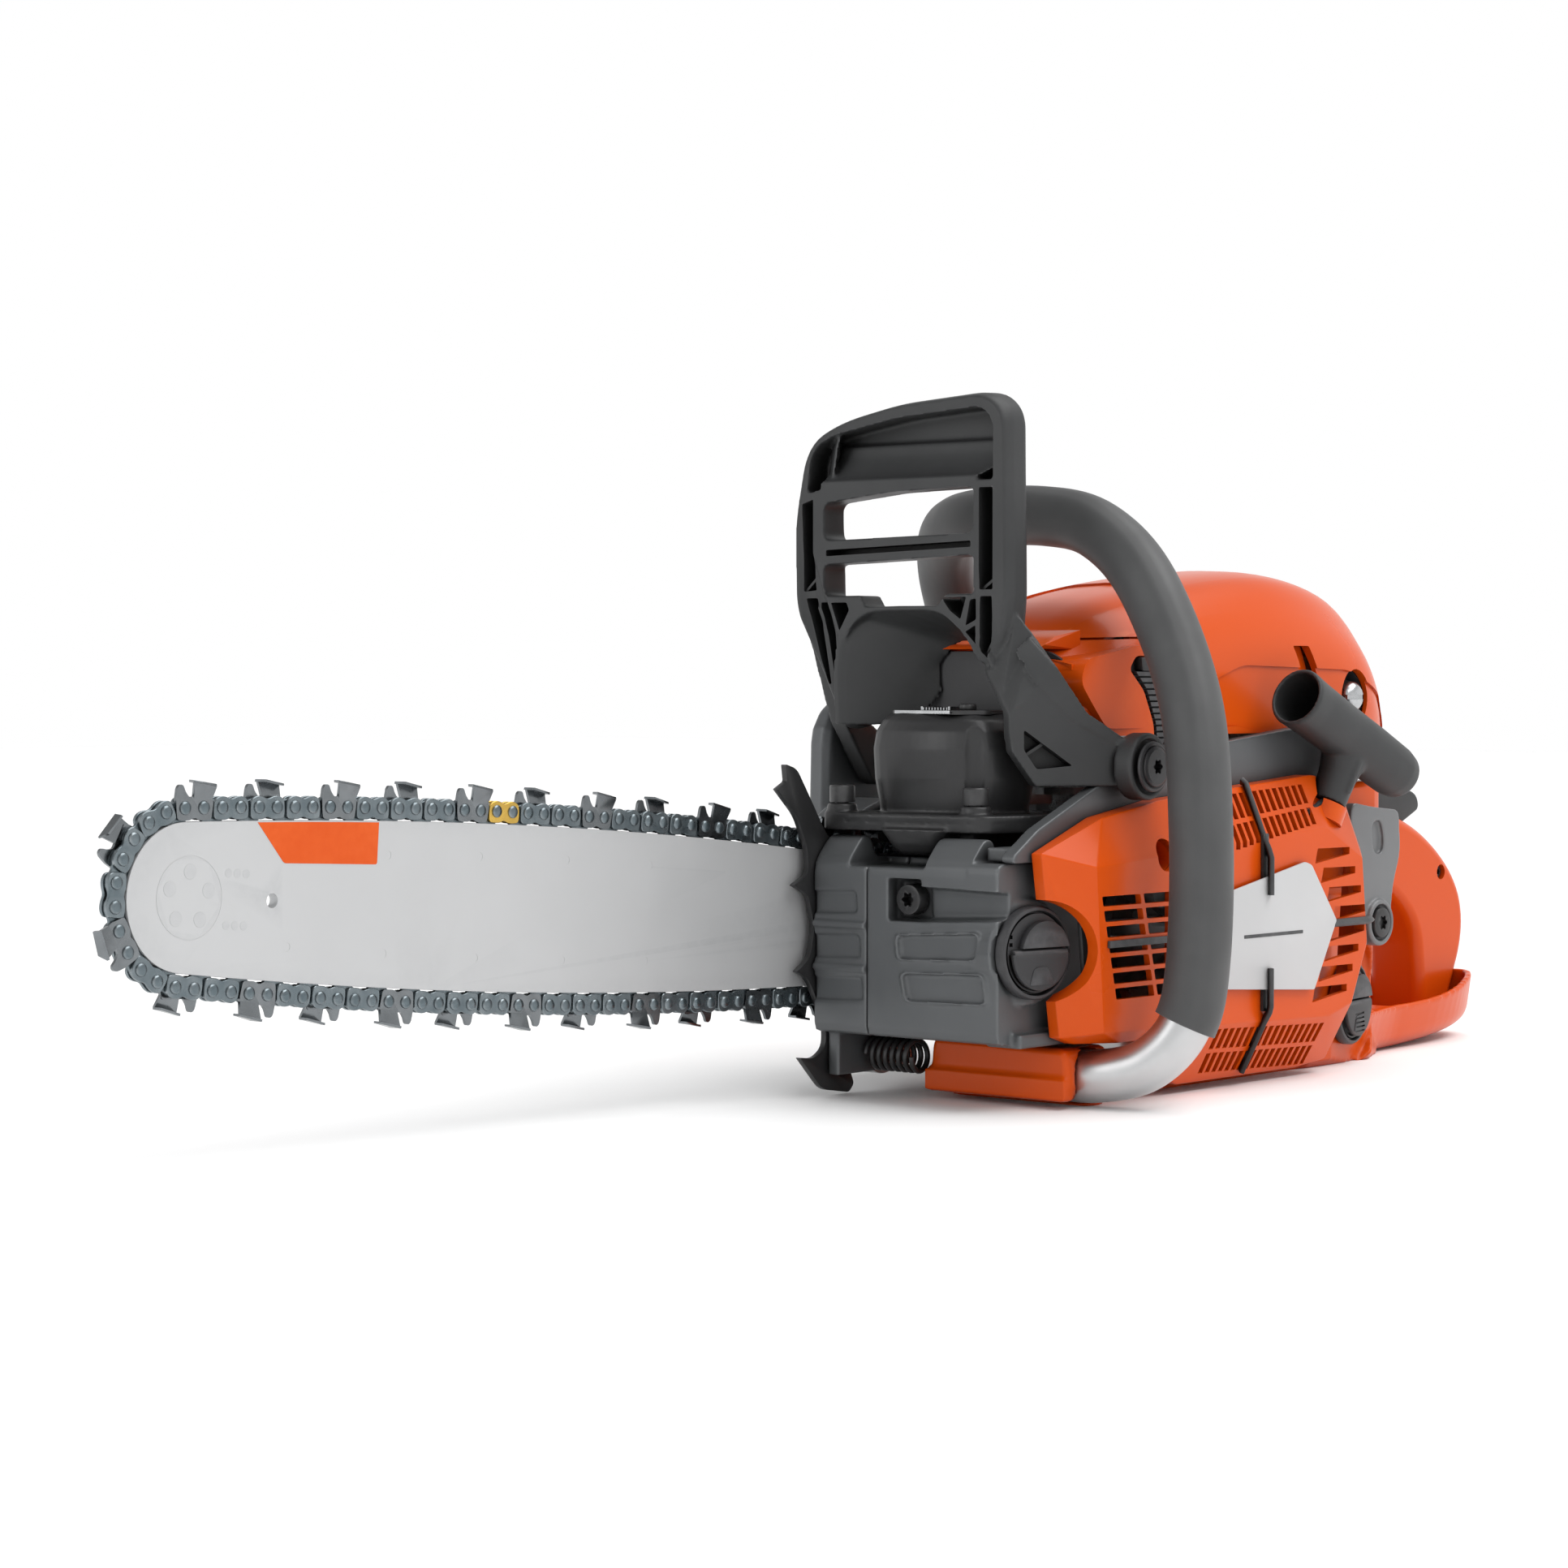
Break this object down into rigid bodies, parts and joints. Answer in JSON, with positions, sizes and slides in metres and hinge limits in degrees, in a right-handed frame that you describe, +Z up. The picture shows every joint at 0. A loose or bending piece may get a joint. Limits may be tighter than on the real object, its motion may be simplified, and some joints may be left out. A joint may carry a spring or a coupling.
{
  "type": "chainsaw",
  "caption": "Petrol chainsaw: guide bar and toothed chain, engine in plastic covers, front and rear handles, chain-brake guard, pull starter, tanks",
  "frame": {"origin": "on the ground below the crankshaft axis, on the flat underside of the tank unit", "axes": "+X forward to the bar tip, +Y to the operator's left, +Z up"},
  "size_m": [0.7785, 0.2259, 0.2845],
  "materials": {
    "orange_plastic": "gloss",
    "casting": "satin",
    "dark_plastic": "satin",
    "black_plastic": "matte",
    "rubber": "matte",
    "aluminium": "satin",
    "bar_steel": "satin",
    "chain_steel": "satin",
    "steel": "satin",
    "black_steel": "satin",
    "filter": "matte",
    "label": "satin",
    "cord": "matte"
  },
  "bodies": {
    "saw": {"crankcase_right": "casting", "crankcase_left": "casting", "side_band": "casting", "case_bolt": "steel", "guide_bar": "bar_steel", "saw_chain": "chain_steel", "bar_stud_0": "steel", "bar_stud_1": "steel", "bar_nut_0": "black_steel", "bar_nut_1": "black_steel", "spike_bumper": "black_steel", "chain_catcher": "aluminium", "cylinder": "aluminium", "piston": "aluminium", "connecting_rod": "steel", "oil_pump": "black_plastic", "brake_band": "steel", "spark_plug": "label", "spark_plug_boot": "rubber", "muffler": "black_steel", "muffler_screw_0": "black_steel", "muffler_screw_1": "black_steel", "intake_boot": "rubber", "carburettor": "aluminium", "air_filter": "filter", "top_cover": "orange_plastic", "intake_louvre": "black_plastic", "starter_cover": "orange_plastic", "label_plate": "label", "starter_spider": "dark_plastic", "recoil_spring": "steel", "starter_rope": "cord", "clutch_cover": "casting", "tank_unit": "orange_plastic", "rear_handle": "orange_plastic", "rear_av_bracket": "casting", "av_spring_rear": "steel", "av_spring_front": "black_steel", "front_handle": "aluminium", "front_handle_grip": "rubber", "guard_pivot_bolt": "black_steel"},
    "guard": {"hand_guard": "dark_plastic"},
    "trigger": {"throttle_trigger": "dark_plastic"},
    "lockout": {"throttle_lockout": "dark_plastic"},
    "stop_control": {"stop_lever": "black_plastic"},
    "pull_handle": {"starter_handle": "dark_plastic"},
    "pulley": {"starter_pulley": "black_plastic"},
    "crank": {"crankshaft_right": "steel", "crankshaft_left": "steel", "flywheel": "aluminium", "clutch_hub": "steel"},
    "drum": {"clutch_drum": "black_steel", "rim_sprocket": "steel"},
    "nose": {"nose_sprocket": "steel"},
    "fuel_lid": {"fuel_cap": "black_plastic"},
    "fuel_wing": {"fuel_cap_bail": "black_plastic"},
    "oil_lid": {"oil_cap": "black_plastic"},
    "oil_wing": {"oil_cap_bail": "black_plastic"},
    "tensioner": {"chain_tension_screw": "steel"},
    "latch": {"cover_knob": "steel"}
  },
  "joints": [
    {"name": "guard_swing", "type": "hinge", "parent": "saw", "child": "guard", "pos_m": [0.05, 0, 0.135], "axis": [0, 1, 0], "range_deg": [0, 14]},
    {"name": "trigger_squeeze", "type": "hinge", "parent": "saw", "child": "trigger", "pos_m": [-0.199, 0, 0.088], "axis": [0, 1, 0], "range_deg": [0, 14], "stiffness_Nm_per_rad": 0.25, "springref_deg": -14.32},
    {"name": "lockout_press", "type": "hinge", "parent": "saw", "child": "lockout", "pos_m": [-0.217, 0, 0.106], "axis": [0, -1, 0], "range_deg": [0, 10], "stiffness_Nm_per_rad": 0.25, "springref_deg": -14.32},
    {"name": "stop_turn", "type": "hinge", "parent": "saw", "child": "stop_control", "pos_m": [-0.136, -0.047, 0.112], "axis": [0, 1, 0], "range_deg": [-30, 30]},
    {"name": "starter_pull", "type": "slide", "parent": "saw", "child": "pull_handle", "axis": [-0.3799, 0.15, 0.9128], "range_m": [0, 0.9], "stiffness_N_per_m": 8, "springref_m": -0.6},
    {"name": "pulley_spin", "type": "hinge", "parent": "saw", "child": "pulley", "pos_m": [0, 0.066, 0.064], "axis": [0, -1, 0], "range_deg": [0, 2400]},
    {"name": "crank_spin", "type": "hinge", "parent": "saw", "child": "crank", "pos_m": [0, 0, 0.064], "axis": [0, 1, 0], "continuous": true},
    {"name": "drum_spin", "type": "hinge", "parent": "saw", "child": "drum", "pos_m": [0, -0.06, 0.064], "axis": [0, 1, 0], "continuous": true},
    {"name": "nose_spin", "type": "hinge", "parent": "saw", "child": "nose", "pos_m": [0.44887, -0.05, 0.09594], "axis": [0, 1, 0], "continuous": true},
    {"name": "fuel_cap_turn", "type": "hinge", "parent": "saw", "child": "fuel_lid", "pos_m": [-0.13048, 0.05055, 0.027], "axis": [-0.1736, 0.9848, 0], "range_deg": [0, 90]},
    {"name": "fuel_wing_lift", "type": "hinge", "parent": "fuel_lid", "child": "fuel_wing", "pos_m": [-0.13113, 0.05424, 0.027], "axis": [0.9848, 0.1736, 0], "range_deg": [0, 90]},
    {"name": "oil_cap_turn", "type": "hinge", "parent": "saw", "child": "oil_lid", "pos_m": [0.10948, 0.05655, 0.063], "axis": [0.1736, 0.9848, 0], "range_deg": [0, 90]},
    {"name": "oil_wing_lift", "type": "hinge", "parent": "oil_lid", "child": "oil_wing", "pos_m": [0.11013, 0.06024, 0.063], "axis": [0.9848, -0.1736, 0], "range_deg": [0, 90]},
    {"name": "tension_turn", "type": "hinge", "parent": "saw", "child": "tensioner", "pos_m": [0.11, -0.06, 0.048], "axis": [1, 0, 0], "range_deg": [-720, 720]},
    {"name": "latch_turn", "type": "hinge", "parent": "saw", "child": "latch", "pos_m": [-0.137, 0.043, 0.162], "axis": [0, 1, 0], "range_deg": [0, 90]}
  ],
  "couplings": [
    {"joint": "pulley_spin", "follows": "starter_pull", "rad_per_m": 46},
    {"joint": "nose_spin", "follows": "drum_spin", "ratio": 0.58333}
  ]
}
